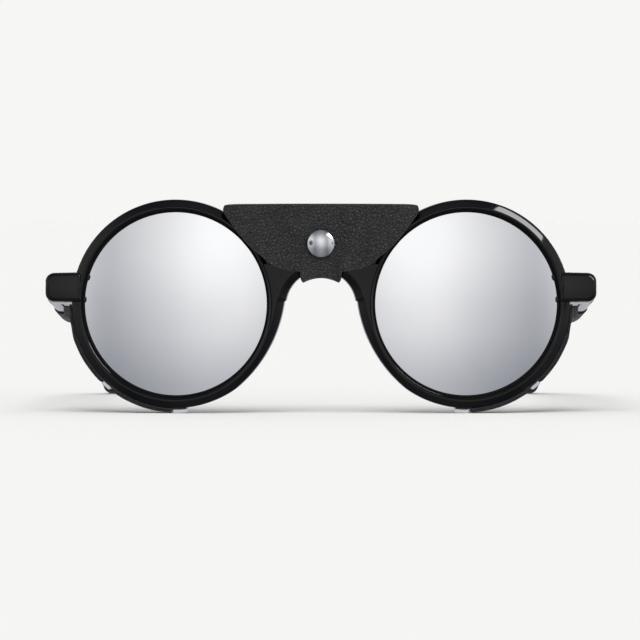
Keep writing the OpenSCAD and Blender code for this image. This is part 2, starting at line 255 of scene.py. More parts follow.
def leather(name, tint, grain, sheen):
    """Black pebble-grain leather: cells, creases, pores and a worn sheen, its colour partly
    painted shade, lighter on the pebble tops and darker in the creases.
    """
    m = Nodes(name)
    place = m.position()
    drift = m.add("VectorMath", operation="ADD")
    wobble = m.add("TexNoise")
    m.feed(wobble, Vector=place, Scale=grain * 0.45, Detail=2.0)
    scaled = m.add("VectorMath", operation="SCALE")
    m.feed(scaled, Vector=wobble.outputs["Color"], Scale=0.55 / grain)
    m.put(place, drift.inputs[0])
    m.put(scaled.outputs[0], drift.inputs[1])
    pebbles = m.cells(drift.outputs[0], grain, "SMOOTH_F1")
    creases = m.cells(drift.outputs[0], grain * 0.62, "DISTANCE_TO_EDGE")
    crease_line = m.grey(creases, 0.0, 1.0, 0.0, 0.12)
    pores = m.noise(place, grain * 3.1, 4, 0.65)
    folds = m.noise(place, 120, 4, 0.55, 0.6)
    # the grain's tone is partly painted shade: lighter on the pebbles' tops, darker down in their
    # creases
    shade = m.math("MULTIPLY", m.grey(pebbles, 1.25, 0.7, 0.1, 0.75),
                   m.grey(folds, 0.8, 1.2, 0.3, 0.7))
    dark, light = [tuple(c * k for c in tint) for k in (0.25, 2.1)]
    colour = m.ramp(m.math("MULTIPLY", shade, 0.5), [(0.25, dark), (0.72, light)])
    height = m.math("ADD", m.math("MULTIPLY", pebbles, -0.7),
                    m.math("MULTIPLY", crease_line, 0.35))
    normal = m.bump(height, 0.0006, 1.0,
                    m.bump(pores, 0.00004, 0.6, m.bump(folds, 0.0005, 0.35)))
    roughness = m.grey(pebbles, 0.22, 0.6, 0.1, 0.8)
    m.feed(m.shader, Base_Color=colour, Roughness=roughness, Normal=normal, IOR=1.45,
           Sheen_Weight=sheen, Sheen_Roughness=0.4)
    return m.material


def metal(name, tint, roughness, brushed=0.0):
    """Metal with slightly uneven tarnish, and brushed lines where asked for."""
    m = Nodes(name)
    place = m.position()
    tarnish = m.noise(place, 420, 4, 0.6)
    dull = tuple(c * 0.86 for c in tint)
    m.feed(m.shader, Base_Color=m.ramp(tarnish, [(0.35, dull), (0.7, tint)]),
           Roughness=m.grey(tarnish, roughness * 0.8, roughness * 1.35, 0.3, 0.75), Metallic=1.0)
    if brushed:
        lines = m.noise(m.position((1, 40, 40)), 260, 3, 0.7)
        m.feed(m.shader, Normal=m.bump(lines, 0.00001, brushed))
    return m.material


def thread():
    """Waxed black thread with its twist."""
    m = Nodes("waxed_thread")
    twist = m.add("TexWave", bands_direction="DIAGONAL")
    m.feed(twist, Vector=m.position(), Scale=900.0, Distortion=0.4)
    m.feed(m.shader, Normal=m.bump(twist.outputs["Fac"], 0.00005, 0.7),
           Base_Color=m.ramp(twist.outputs["Fac"],
                             [(0.2, (0.016, 0.016, 0.017)), (0.8, (0.05, 0.05, 0.052))]),
           Roughness=m.grey(twist.outputs["Fac"], 0.6, 0.45))
    return m.material


BLACK = black_plastic()
PAINTED_SHADE_SEAT = painted_shade_seat()
SLEEVE = matt_sleeve()
MIRROR = lens_mirror()
SMOKE = lens_back()
FLAP_LEATHER = leather("flap_leather", (0.018, 0.018, 0.0185), 2000.0, 0.04)
FLAP_EDGE = leather("flap_leather_edge", (0.026, 0.026, 0.026), 3200.0, 0.1)
# the shield's leather and its edges are a darker copy of the flap's: painted shade for the shadow
# between temple and rim
SHIELD_LEATHER_PAINTED_SHADE = leather("shield_leather", (0.014, 0.0135, 0.013), 2000.0, 0.04)
SHIELD_EDGE_PAINTED_SHADE = leather("shield_leather_edge", (0.009, 0.009, 0.009), 3200.0, 0.1)
NICKEL = metal("polished_nickel", (0.74, 0.74, 0.745), 0.1)
HINGE_METAL = metal("satin_nickel_silver", (0.62, 0.615, 0.6), 0.24, 0.35)
SCREW_STEEL = metal("turned_steel", (0.5, 0.5, 0.51), 0.26, 0.2)
SPRING_STEEL = metal("rolled_spring_steel", (0.6, 0.61, 0.63), 0.28, 0.4)
BLUED_STEEL = metal("blued_spring_steel", (0.085, 0.088, 0.1), 0.3, 0.3)
THREAD = thread()

CAD_MATERIALS = {
    "hinge_front_leaf": HINGE_METAL, "hinge_temple_leaf": HINGE_METAL,
    "hinge_screw": SCREW_STEEL, "front_leaf_screws": SCREW_STEEL,
    "temple_leaf_screws": SCREW_STEEL, "temple_core": SPRING_STEEL,
    "snap_socket": NICKEL, "snap_stud": NICKEL, "snap_eyelet": NICKEL,
    "snap_spring": SPRING_STEEL, "shield_rivets": NICKEL,
}


def dress_cad_nodes():
    """Every CAD node that stays visible gets its material."""
    for name, node in frame["nodes"].items():
        stem = name.removesuffix("_left").removesuffix("_right")
        if stem in CAD_MATERIALS:
            node.data.materials.clear()
            node.data.materials.append(CAD_MATERIALS[stem])


# ---------------------------------------------------------------- mesh helpers
def add_object(name, data):
    """A new object in the scene."""
    obj = bpy.data.objects.new(name, data)
    bpy.context.scene.collection.objects.link(obj)
    return obj


def mesh_object(name, points, faces, *materials):
    """A smooth shaded mesh with one material slot for each material."""
    mesh = bpy.data.meshes.new(name)
    mesh.from_pydata([tuple(p) for p in points], [], faces)
    mesh.validate()
    obj = add_object(name, mesh)
    for material in materials:
        mesh.materials.append(material)
    for polygon in mesh.polygons:
        polygon.use_smooth = True
    return obj


def outward(obj):
    """Joins points that lie together and makes the faces of a closed mesh look outwards."""
    b = bmesh.new()
    b.from_mesh(obj.data)
    bmesh.ops.remove_doubles(b, verts=b.verts, dist=1e-7)
    bmesh.ops.recalc_face_normals(b, faces=b.faces)
    b.to_mesh(obj.data)
    b.free()
    return obj


def sharp_by_angle(obj, degrees):
    """Smooth shading that breaks at edges sharper than the angle."""
    bpy.context.view_layer.objects.active = obj
    obj.select_set(True)
    bpy.ops.object.shade_smooth_by_angle(angle=radians(degrees))
    obj.select_set(False)


def tube_faces(rings, columns):
    """Faces between rings of points, each ring closed on itself, the two ends left open."""
    faces = []
    for i in range(rings - 1):
        for j in range(columns):
            a, b = i * columns + j, i * columns + (j + 1) % columns
            faces.append((a, b, b + columns, a + columns))
    return faces


def bar_faces(rings, columns):
    """Faces between rings of points, with both ends closed."""
    last = (rings - 1) * columns
    ends = [tuple(range(columns)), tuple(range(last, last + columns))]
    return tube_faces(rings, columns) + ends


def lathe(name, profile, place, material, segments):
    """A turned solid: profile is (radius, depth) from axis to axis, place(x, y, depth) a point."""
    points = [place(r * cos(2 * pi * k / segments), r * sin(2 * pi * k / segments), d)
              for r, d in profile for k in range(segments)]
    return outward(mesh_object(name, points, tube_faces(len(profile), segments), material))


def arc(cx, cz, r, start, end, step=0.35):
    """Points along an arc, about step millimetres apart, from one angle to another."""
    count = max(2, int(abs(end - start) * r / step))
    return [(cx + r * cos(start + (end - start) * k / count),
             cz + r * sin(start + (end - start) * k / count)) for k in range(count + 1)]


def inset(loop, distance):
    """A closed loop of 2D points, moved inwards by distance. The loop runs anticlockwise."""
    moved = []
    for k, (x, z) in enumerate(loop):
        (ax, az), (bx, bz) = loop[k - 1], loop[(k + 1) % len(loop)]
        tx, tz = bx - ax, bz - az
        length = math.hypot(tx, tz)
        moved.append((x - tz / length * distance, z + tx / length * distance))
    return moved


# ---------------------------------------------------------------- front
def circles_meet(x1, z1, r1, x2, z2, r2, pick):
    """The meeting point of two circles that pick scores highest."""
    dx, dz = x2 - x1, z2 - z1
    d = math.hypot(dx, dz)
    a = (r1 * r1 - r2 * r2 + d * d) / (2 * d)
    h = sqrt(max(0.0, r1 * r1 - a * a))
    mx, mz = x1 + a * dx / d, z1 + a * dz / d
    return max([(mx + h * dz / d, mz - h * dx / d), (mx - h * dz / d, mz + h * dx / d)], key=pick)


def angle_at(cx, cz, point):
    """The angle of a point seen from a centre."""
    return math.atan2(point[1] - cz, point[0] - cx)


def front_half_outline():
    """The outline of one half of the front, anticlockwise from the bar's top at X = 0."""
    fillet = 3.0
    top_z = BAR_TOP + BAR_TOP_R
    # a fillet joins the bar's top to the rim
    near_bar = circles_meet(0, top_z, BAR_TOP_R - fillet, LENS_U, LENS_Z, RIM_R + fillet,
                            lambda p: -p[1])
    rim_join = angle_at(LENS_U, LENS_Z, near_bar)
    bar_join = angle_at(0, top_z, near_bar)
    low = circles_meet(LENS_U, LENS_Z, RIM_R, FLARE_X, FLARE_Z, FLARE_R, lambda p: -p[1])
    high = circles_meet(FLARE_X, FLARE_Z, FLARE_R, 0, ARCH_Z, ARCH_R, lambda p: p[0])
    loop = arc(0, ARCH_Z, ARCH_R, pi / 2, angle_at(0, ARCH_Z, high))[:-1]
    loop += arc(FLARE_X, FLARE_Z, FLARE_R, angle_at(FLARE_X, FLARE_Z, high) % (2 * pi),
                angle_at(FLARE_X, FLARE_Z, low) % (2 * pi))[:-1]
    loop += arc(LENS_U, LENS_Z, RIM_R, angle_at(LENS_U, LENS_Z, low) % (2 * pi),
                rim_join + 2 * pi)[:-1]
    loop += arc(near_bar[0], near_bar[1], fillet, rim_join - pi, bar_join)[:-1]
    loop += arc(0, top_z, BAR_TOP_R, bar_join, -pi / 2)
    return loop


def front_profile():
    """(inset, depth) across the front's outer edge: bevel, side and rear edge."""
    return [(2.15, 0.0), (1.95, 0.015), (1.8, 0.06), (1.6, 0.14), (0.9, 0.47), (0.4, 0.7),
            (0.2, 0.82), (0.07, 0.98), (0.0, 1.2), (0.0, 2.6), (0.0, 4.0), (0.06, 4.25),
            (0.18, 4.42), (0.36, 4.54), (0.6, RIM_T)]


def opening_profile():
    """(radius, depth) down the lens opening, from the front face to the rear face."""
    return [(25.12, 0.0), (25.0, 0.02), (24.92, 0.08), (24.86, 0.16), (24.5, 0.42),
            (24.42, 0.5), (24.3, 0.56), (23.95, 0.6), (23.84, 0.66), (23.8, 0.78),
            (23.8, 1.4), (23.8, GROOVE_FRONT), (GROOVE_R, GROOVE_FRONT),
            (GROOVE_R, GROOVE_BACK), (OPENING_R, GROOVE_BACK), (OPENING_R, 4.3),
            (23.72, 4.48), (23.86, 4.57), (24.05, RIM_T)]


# the steps of opening_profile that get the dull black as painted shade, so they look black
PAINTED_SHADE_STEPS = {0, 1, 2, 6, 7, 8, 9, 10}


def front_half(side):
    """One half of the front as a bmesh, its cut end at X = 0 left open."""
    b = bmesh.new()
    outline = front_half_outline()
    ring = 240

    def outer_loop(distance, depth):
        moved = inset(outline, distance)
        # the two ends stay on the middle plane
        moved[0] = (0.0, outline[0][1] + distance)
        moved[-1] = (0.0, outline[-1][1] - distance)
        return [b.verts.new(rim_point(side, x, depth, z)) for x, z in moved]

    def ring_loop(r, depth):
        return [b.verts.new(rim_point(side, LENS_U + r * cos(2 * pi * k / ring), depth,
                                      LENS_Z + r * sin(2 * pi * k / ring)))
                for k in range(ring)]

    outer = [outer_loop(*p) for p in front_profile()]
    inner = [ring_loop(*p) for p in opening_profile()]
    for one, other in zip(outer, outer[1:]):
        for k in range(len(one) - 1):
            b.faces.new((one[k], one[k + 1], other[k + 1], other[k]))
    for step, (one, other) in enumerate(zip(inner, inner[1:])):
        for k in range(ring):
            face = b.faces.new((one[k - 1], one[k], other[k], other[k - 1]))
            # steps that stand in painted shade get the dull black material
            face.material_index = 1 if step in PAINTED_SHADE_STEPS else 0
    for loop, hole in ((outer[0], inner[0]), (outer[-1], inner[-1])):
        edges = [b.edges.get((loop[k], loop[k + 1])) for k in range(len(loop) - 1)]
        edges.append(b.edges.new((loop[-1], loop[0])))
        edges += [b.edges.get((hole[k - 1], hole[k])) for k in range(ring)]
        bmesh.ops.triangle_fill(b, use_beauty=True, edges=edges)
    return b


def make_front():
    """The moulded front in one piece, with its end pieces and lens lugs."""
    whole = bmesh.new()
    for side in SIDES.values():
        half = front_half(side)
        mesh = bpy.data.meshes.new("half")
        half.to_mesh(mesh)
        half.free()
        whole.from_mesh(mesh)
        bpy.data.meshes.remove(mesh)
    bmesh.ops.remove_doubles(whole, verts=whole.verts, dist=2e-6)
    bmesh.ops.recalc_face_normals(whole, faces=whole.faces)
    mesh = bpy.data.meshes.new("front_moulding")
    whole.to_mesh(mesh)
    whole.free()
    obj = add_object("front_moulding", mesh)
    mesh.materials.append(BLACK)
    # the second slot is the dull black painted shade on the opening's steps
    mesh.materials.append(PAINTED_SHADE_SEAT)
    sharp_by_angle(obj, 28)
    weighted = obj.modifiers.new("even_shading", "WEIGHTED_NORMAL")
    weighted.keep_sharp = True
    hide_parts("front_frame")
    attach(obj, "front")
    for name, side in SIDES.items():
        end = make_end_piece(name, side)
        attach(end, "front")
        make_lugs(name, side)


def rounded_section(half_w, half_h, r, per_corner=8, flat_inner=False):
    """Points round a rounded rectangle, anticlockwise. flat_inner keeps its inner corners
    nearly sharp."""
    points = []
    for sx, sz, start in ((1, 1, 0), (-1, 1, 90), (-1, -1, 180), (1, -1, 270)):
        rr = 0.5 if flat_inner and sx < 0 else r
        for k in range(per_corner + 1):
            a = radians(start + 90 * k / per_corner)
            points.append((sx * (half_w - rr) + rr * cos(a), sz * (half_h - rr) + rr * sin(a)))
    return points


def make_end_piece(name, side):
    """The proud block at the end of the front, rounded outside and at its front."""
    x_in, corner, depth = 61.75, 2.2, END_LEN
    half_h, drop = TEMPLE_H / 2 + 0.1, 0.1
    rows = []
    steps = 9
    # the front edge rounds over, then the section runs straight back
    for k in range(steps + 1):
        a = pi / 2 * k / steps
        shrink, y = 1.0 * (1 - sin(a)), 1.0 * (1 - cos(a))
        rows.append((y, shrink))
    rows += [(2.5, 0.0), (6.0, 0.0), (depth - 0.25, 0.0), (depth - 0.07, 0.07), (depth, 0.25)]
    centre, half_w = (x_in + TEMPLE_X) / 2, (TEMPLE_X - x_in) / 2
    section_points = []
    for y, shrink in rows:
        for x, z in rounded_section(half_w - shrink, half_h - shrink, corner - shrink * 0.75,
                                    flat_inner=True):
            # the front face follows the turn of the rim and is crowned from top to bottom
            ahead, outer = max(0.0, 1 - y / 5), (x + half_w) / (2 * half_w)
            turn = 0.7 * outer ** 1.6 + 0.55 * (z / half_h) ** 2
            z *= 1 - 0.06 * outer * outer * ahead
            section_points.append(temple_point(side, centre + x, y + turn * ahead, z - drop))
    columns = len(rounded_section(1, 1, 0.5))
    faces = bar_faces(len(rows), columns)
    obj = outward(mesh_object(f"end_piece_{name}", section_points, faces, BLACK))
    sharp_by_angle(obj, 32)
    return obj


def make_lugs(name, side):
    """The two small lugs of the moulding that lie over each lens, by the end piece."""
    points, faces = [], []
    for angle in LUG_ANGLES:
        a, first = radians(angle), len(points)
        ball = bmesh.new()
        bmesh.ops.create_uvsphere(ball, u_segments=24, v_segments=12, radius=1.0)
        ball.verts.index_update()
        for vert in ball.verts:
            along, across, deep = [c * size for c, size in zip(vert.co, LUG_SIZE)]
            r = OPENING_R + across
            points.append(rim_point(side, LENS_U + r * cos(a) - along * sin(a), LUG_DEPTH + deep,
                                    LENS_Z + r * sin(a) + along * cos(a)))
        faces += [tuple(first + vert.index for vert in face.verts) for face in ball.faces]
        ball.free()
    obj = outward(mesh_object(f"lens_lugs_{name}", points, faces, BLACK))
    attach(obj, "front")


# ---------------------------------------------------------------- lenses
def make_lens(name, side):
    """A curved lens with a mirror front and a smoke grey back."""
    rings, segments = 60, 180
    edge_r = GROOVE_R - 0.1

    def cap(curve_r, offset):
        """Rings of points from the middle out, on one of the lens's faces."""
        rows = []
        for i in range(1, rings + 1):
            r = edge_r * i / rings
            depth = LENS_POLE + offset + curve_r - sqrt(curve_r**2 - r * r)
            rows.append([rim_point(side, LENS_U + r * cos(2 * pi * k / segments), depth,
                                   LENS_Z + r * sin(2 * pi * k / segments))
                         for k in range(segments)])
        return rows

    front, back = cap(LENS_CURVE_R, 0.0), cap(LENS_CURVE_R - LENS_T, LENS_T)
    points = [p for row in front for p in row] + [p for row in reversed(back) for p in row]
    faces = tube_faces(2 * rings, segments)
    points.append(rim_point(side, LENS_U, LENS_POLE, LENS_Z))
    points.append(rim_point(side, LENS_U, LENS_POLE + LENS_T, LENS_Z))
    total = 2 * rings * segments
    last = total - segments
    faces += [(total, k, (k + 1) % segments) for k in range(segments)]
    faces += [(total + 1, last + k, last + (k + 1) % segments) for k in range(segments)]
    obj = outward(mesh_object(f"mirror_lens_{name}", points, faces, MIRROR, SMOKE))
    for polygon in obj.data.polygons:
        polygon.material_index = 1 if polygon.normal.y > 0.5 else 0
    sharp_by_angle(obj, 30)
    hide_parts(f"lens_{name}")
    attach(obj, "front")


# ---------------------------------------------------------------- temples
def temple_path():
    """(y, z, direction, half height, scale) along a temple's middle, in its own frame."""
    stations = []
    # the front end is just rounded
    edge = 0.5
    for y, k in ((0.0, 0.86), (0.06, 0.93), (0.2, 0.98), (edge, 1.0)):
        stations.append((TEMPLE_START + y, 0.0, 0.0, TEMPLE_H / 2, k))
    for i in range(1, 44):
        t = i / 43
        y = TEMPLE_START + edge + (STRAIGHT_LEN - edge) * t
        stations.append((y, 0.0, 0.0, TEMPLE_H / 2 + (TIP_R - TEMPLE_H / 2) * t, 1.0))
    bend_y = TEMPLE_START + STRAIGHT_LEN
    for i in range(1, 31):
        a = EAR_SWEEP * i / 30
        stations.append((bend_y + EAR_R * sin(a), -EAR_R * (1 - cos(a)), -a, TIP_R, 1.0))
    y, z = stations[-1][:2]
    centre_z = END_Z - y * sin(SLOPE) + z * cos(SLOPE)
    tip_len = (centre_z - TIP_R) / sin(EAR_SWEEP + SLOPE)
    for i in range(1, 9):
        t = tip_len * i / 8
        stations.append((y + t * cos(EAR_SWEEP), z - t * sin(EAR_SWEEP), -EAR_SWEEP, TIP_R, 1.0))
    y, z = stations[-1][:2]
    for i in range(1, 11):
        a = pi / 2 * i / 10
        t = TIP_R * sin(a)
        half = max(TIP_R * cos(a), 0.25)
        stations.append((y + t * cos(EAR_SWEEP), z - t * sin(EAR_SWEEP), -EAR_SWEEP, half, 1.0))
    return stations


def temple_outer_x(y):
    """Where the outer face of a temple is, at a depth in the temple's frame."""
    if y <= INWARD_START:
        return TEMPLE_X
    return TEMPLE_X - INWARD_R + sqrt(INWARD_R**2 - (y - INWARD_START) ** 2)


def temple_bar(name, side, stations, material):
    """A bar along the stations, each with its own thickness added to the temple's section."""
    points, per_corner = [], 7
    for y, z, turn, half_h, k, extra in stations:
        centre = temple_outer_x(y) - TEMPLE_T / 2
        thin = min(1.0, 0.35 + half_h / TIP_R * 0.65)
        half_w = TEMPLE_T / 2 * thin + extra
        corner = min(1.55 + extra, half_h * 0.95, half_w)
        for a, b in rounded_section(half_w, half_h + extra, corner, per_corner):
            a, b = a * k, b * k
            points.append(temple_point(side, centre + a, y - b * sin(turn), z + b * cos(turn)))
    faces = bar_faces(len(stations), 4 * (per_corner + 1))
    obj = outward(mesh_object(name, points, faces, material))
    sharp_by_angle(obj, 34)
    return obj


def make_temple(name, side):
    """The polished arm, and the matt sleeve pulled over its rear half down to the tip."""
    path = temple_path()
    arm = [(*station, 0.0) for station in path if station[0] < SLEEVE_START + 2]
    obj = temple_bar(f"temple_moulding_{name}", side, arm, BLACK)
    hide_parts(f"temple_{name}")
    rear = [station for station in path if station[0] > SLEEVE_START]
    y, z, turn, half_h, scale = rear[0]
    sleeve = []
    for k in range(6):
        a = pi / 2 * k / 5
        extra = -SLEEVE_LIP + (SLEEVE_T + SLEEVE_LIP) * sin(a)
        sleeve.append((y - SLEEVE_T * cos(a), z, turn, half_h, scale, extra))
    # after a stretch of full thickness the sleeve thins out towards the tip
    for number, station in enumerate(rear[1:], 1):
        sleeve.append((*station, SLEEVE_T * (1 - smoothstep((number - 12) / 30))))
    cover = temple_bar(f"temple_sleeve_{name}", side, sleeve, SLEEVE)
    for piece in (obj, cover):
        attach(piece, f"temple_{name}")


# ---------------------------------------------------------------- leather
# how far a cut edge bulges past the sheet's end
EDGE_BULGE = 0.225


def smoothstep(t):
    """0 up to t = 0, 1 from t = 1 on, and a smooth rise between them."""
    t = min(1.0, max(0.0, t))
    return t * t * (3 - 2 * t)


def cut_edge_outward(rows, rim, k):
    """The direction in which the sheet ends at one point of its rim."""
    count, width = len(rows), len(rows[0])
    i, j = rim[k]
    p, n = rows[i][j]
    before_i, before_j = rim[k - 1]
    after_i, after_j = rim[(k + 1) % len(rim)]
    along = (rows[after_i][after_j][0] - rows[before_i][before_j][0]).normalized()
    out = along.cross(n).normalized()
    inside = rows[min(max(i, 1), count - 2)][min(max(j, 1), width - 2)][0]
    return -out if out.dot(p - inside) < 0 else out


def thick_sheet(name, rows, thickness, face_material, edge_material):
    """A sheet of leather with rounded cut edges. rows is a grid of (point, normal) in metres on
    the middle of the sheet, and thickness is in millimetres."""
    count, width = len(rows), len(rows[0])
    half = thickness / 2 * MM
    points = [p - n * half for row in rows for p, n in row]
    points += [p + n * half for row in rows for p, n in row]
    bottom = count * width
    faces = []
    for i in range(count - 1):
        for j in range(width - 1):
            a, b = i * width + j, i * width + j + 1
            c, d = b + width, a + width
            faces.append((a, b, c, d))
            faces.append((bottom + d, bottom + c, bottom + b, bottom + a))
    surface_faces = len(faces)
    rim = [(0, j) for j in range(width)] + [(i, width - 1) for i in range(1, count)]
    rim += [(count - 1, j) for j in range(width - 2, -1, -1)]
    rim += [(i, 0) for i in range(count - 2, 0, -1)]
    # the cut edge bulges in a few steps between the two faces
    steps = 4
    bands = [[i * width + j for i, j in rim]]
    for step in range(1, steps):
        a = pi * step / steps
        band = []
        for k, (i, j) in enumerate(rim):
            p, n = rows[i][j]
            band.append(len(points))
            bulge = cut_edge_outward(rows, rim, k) * sin(a) * EDGE_BULGE * MM
            points.append(p - n * half * cos(a) + bulge)
        bands.append(band)
    bands.append([bottom + i * width + j for i, j in rim])
    for one, other in zip(bands, bands[1:]):
        for k in range(len(rim)):
            after = (k + 1) % len(rim)
            faces.append((one[k], one[after], other[after], other[k]))
    obj = mesh_object(name, points, faces, face_material, edge_material)
    for polygon in obj.data.polygons[surface_faces:]:
        polygon.material_index = 1
    return outward(obj)


def polyline_x(points, z):
    """The X of a side outline at height z, on straight lines between its points."""
    for (x0, z0), (x1, z1) in zip(points, points[1:]):
        if z0 <= z <= z1:
            return x0 + (x1 - x0) * (z - z0) / (z1 - z0)
    return points[-1][0] if z > points[-1][1] else points[0][0]


def flap_half_width(z):
    """Half the width of the flap at height z: a slanted side with a rounded lower corner."""
    return polyline_x([(5.1, 36.0), (5.3, 36.75), (7.8, 36.95), (9.6, 37.25), (11.2, 37.75),
                       (12.7, 38.55), (15.6, 40.95), (18.4, 43.4), (20.9, 46.35), (23.1, 49.2),
                       (24.15, 50.7), (24.75, 51.8), (24.95, 52.6), (24.7, 53.75)], z)


def flap_surface(x, z):
    """Depth of the middle of the flap's leather: flat by the stud, turning back at the sides."""
    depth = FLAP_MIDDLE
    side = max(0.0, abs(x) - 4.0)
    depth += 0.114 * side * side / (side + 4.0)
    # the cap presses a shallow dimple, and the leather waves a little
    dimple = math.hypot(x, z - SNAP_Z) - CAP_R
    depth += 0.16 * math.exp(-(dimple / 1.6) ** 2) * smoothstep(1 - dimple / 6)
    depth += 0.1 * noise.noise(Vector((x * 0.11, z * 0.13, 3.1)))
    return depth


def surface_rows(place, us, vs):
    """A grid of (point, normal) of a surface, from its points by small differences."""
    rows, e = [], 1e-3
    for v in vs:
        row = []
        for u in us:
            p = place(u, v)
            du = place(u + e, v) - place(u - e, v)
            dv = place(u, v + e) - place(u, v - e)
            row.append((p, du.cross(dv).normalized()))
        rows.append(row)
    return rows


def make_flap():
    """The leather over the bridge, built where it lies closed."""
    top, bottom = 53.6, 36.0

    def place(u, v):
        z = bottom + (top - bottom) * v
        x = u * flap_half_width(z + 0.25 * smoothstep((z - 50) / 3))
        # the top edge is slightly crowned and its corners are just rounded
        lift = 0.12 * (1 - u * u) * smoothstep((z - 48) / 5.5)
        lift -= 0.3 * abs(u) ** 24 * smoothstep(z - 52.6)
        return metres(x, flap_surface(x, z), z + lift)

    us = [-1 + k / 72 for k in range(145)]
    vs = [k / 96 for k in range(97)]
    obj = thick_sheet("nose_flap_leather", surface_rows(place, us, vs), LEATHER_T,
                      FLAP_LEATHER, FLAP_EDGE)
    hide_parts("nose_flap")
    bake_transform(obj)


def quarter_turn():
    """The angles of six steps through a right angle."""
    return [pi / 2 * k / 6 for k in range(1, 7)]


def strap_path():
    """(y, z) along the middle of the strap: down, under the bar, up behind it and over it."""
    back_y, tab_y = RIM_T + 0.72 + LEATHER_T / 2, 2.5
    under_z, over_z = 35.42, 41.35
    # the radii of its four corners, of which the first is a little flattened
    fore_r, fore_h, low_r, high_r, tab_r = 0.75, 0.65, 0.9, 1.1, 1.0
    path = [(FLAP_MIDDLE, 36.6), (FLAP_MIDDLE, 36.3)]
    path += [(FLAP_MIDDLE + fore_r * (1 - cos(a)), under_z + fore_h * (1 - sin(a)))
             for a in quarter_turn()]
    path += [(y, under_z) for y in (0.8, 2.0, 3.2, 4.4, back_y - low_r)]
    path += [(back_y - low_r * (1 - sin(a)), under_z + low_r * (1 - cos(a)))
             for a in quarter_turn()]
    path += [(back_y, z) for z in (37.2, 38.2, 39.2, 40.2)]
    path += [(back_y - high_r * (1 - cos(a)), over_z - high_r * (1 - sin(a)))
             for a in quarter_turn()]
    path += [(y, over_z) for y in (4.9, 4.3, 3.8)]
    path += [(tab_y + tab_r * (1 - sin(a)), over_z + tab_r * (1 - cos(a)))
             for a in quarter_turn()]
    path += [(tab_y, z) for z in (43.0, 44.0, 45.0, 46.0, 47.0, 47.7, 48.2)]
    return path


def make_strap():
    """The strap that goes on from the flap, round the bridge and up to the press stud."""
    path = strap_path()
    tab_r = 4.75

    def place(u, v):
        k = min(len(path) - 2, max(0, int(v)))
        t = v - k
        y, z = [path[k][n] + (path[k + 1][n] - path[k][n]) * t for n in (0, 1)]
        half = tab_r
        if z < 37 and y < 0:
            half = 4.5 + 0.6 * smoothstep((z - 34.5) / 2)
        if z > SNAP_Z and y < 3.5:
            half = sqrt(max(0.3, tab_r**2 - (z - SNAP_Z) ** 2))
        x = u * half
        # under the bar it follows the arch
        sag = 0.055 * x * x * smoothstep((37.5 - z) / 2)
        return metres(x, y + 0.012 * x * x * (1 if y > 5.5 else 0), z - sag)

    us = [-1 + k / 10 for k in range(21)]
    vs = [k / 2 for k in range(2 * (len(path) - 1) + 1)]
    obj = thick_sheet("nose_strap_leather", surface_rows(place, us, vs), LEATHER_T - 0.1,
                      FLAP_LEATHER, FLAP_EDGE)
    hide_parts("nose_strap")
    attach(obj, "front")


def make_snap_cap():
    """The domed cap of the press stud, with a rolled edge."""
    base = FLAP_FRONT + 0.02
    profile = [(0.0, base + 0.25), (1.0, base + 0.25), (2.9, base + 0.2), (3.2, base),
               (3.38, base - 0.12), (3.48, base - 0.32), (3.5, base - 0.5), (3.42, base - 0.68)]
    dome_r, dome_h = 3.42, 1.0
    curve = (dome_r**2 + dome_h**2) / (2 * dome_h)
    for k in range(1, 17):
        r = dome_r * (1 - k / 16)
        profile.append((r, base - 0.68 - (sqrt(curve**2 - r * r) - (curve - dome_h))))

    def place(x, z, depth):
        return metres(x, depth, SNAP_Z + z)

    obj = lathe("snap_cap_dome", profile, place, NICKEL, 72)
    post = lathe("snap_cap_post", [(0.0, base + 0.1), (1.0, base + 0.1), (1.0, base + 1.75),
                                   (0.9, base + 1.85), (0.0, base + 1.85)], place, NICKEL, 32)
    sharp_by_angle(post, 30)
    for piece in (obj, post):
        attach(piece, "flap")
    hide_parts("snap_cap")


# ---------------------------------------------------------------- side shields
# angles here are degrees down from the outer end of a lens's level diameter
SHELL_MID_R = 27.7
SHELL_T = 0.8
SHIELD_TOP = 22.6
CLIP_FROM, CLIP_TO, FOOT_FROM = 46.5, 52.5, 88.5
LOBE_FROM, LOBE_TO, LOBE_OUT, LOBE_DEPTH = 1.6, 7.8, 1.9, 8.6


def shield_rear(z):
    """How far back the shield's leather reaches at height z."""
    return polyline_x([(5.6, 0.0), (6.6, 0.6), (9.2, 2.2), (13.0, 5.2), (16.6, 8.4), (19.4, 11.6),
                       (21.6, 14.4), (23.2, 16.9), (23.95, 18.4), (24.0, 19.4), (23.6, 20.6),
                       (22.4, 21.8), (20.6, 22.5), (19.0, 22.62)], z)


def shield_lobe(angle):
    """1 over the ear of leather that is tucked up under the end piece, 0 below it."""
    return 1 - smoothstep((angle - LOBE_TO + 1.5) / 3)


def shield_front(angle):
    """Where the shield's leather begins: it leaves room for the stay's middle clip."""
    gap = smoothstep((angle - CLIP_FROM + 0.9) / 0.8) * smoothstep((CLIP_TO + 3.2 - angle) / 0.8)
    return 1.2 + 4.9 * gap


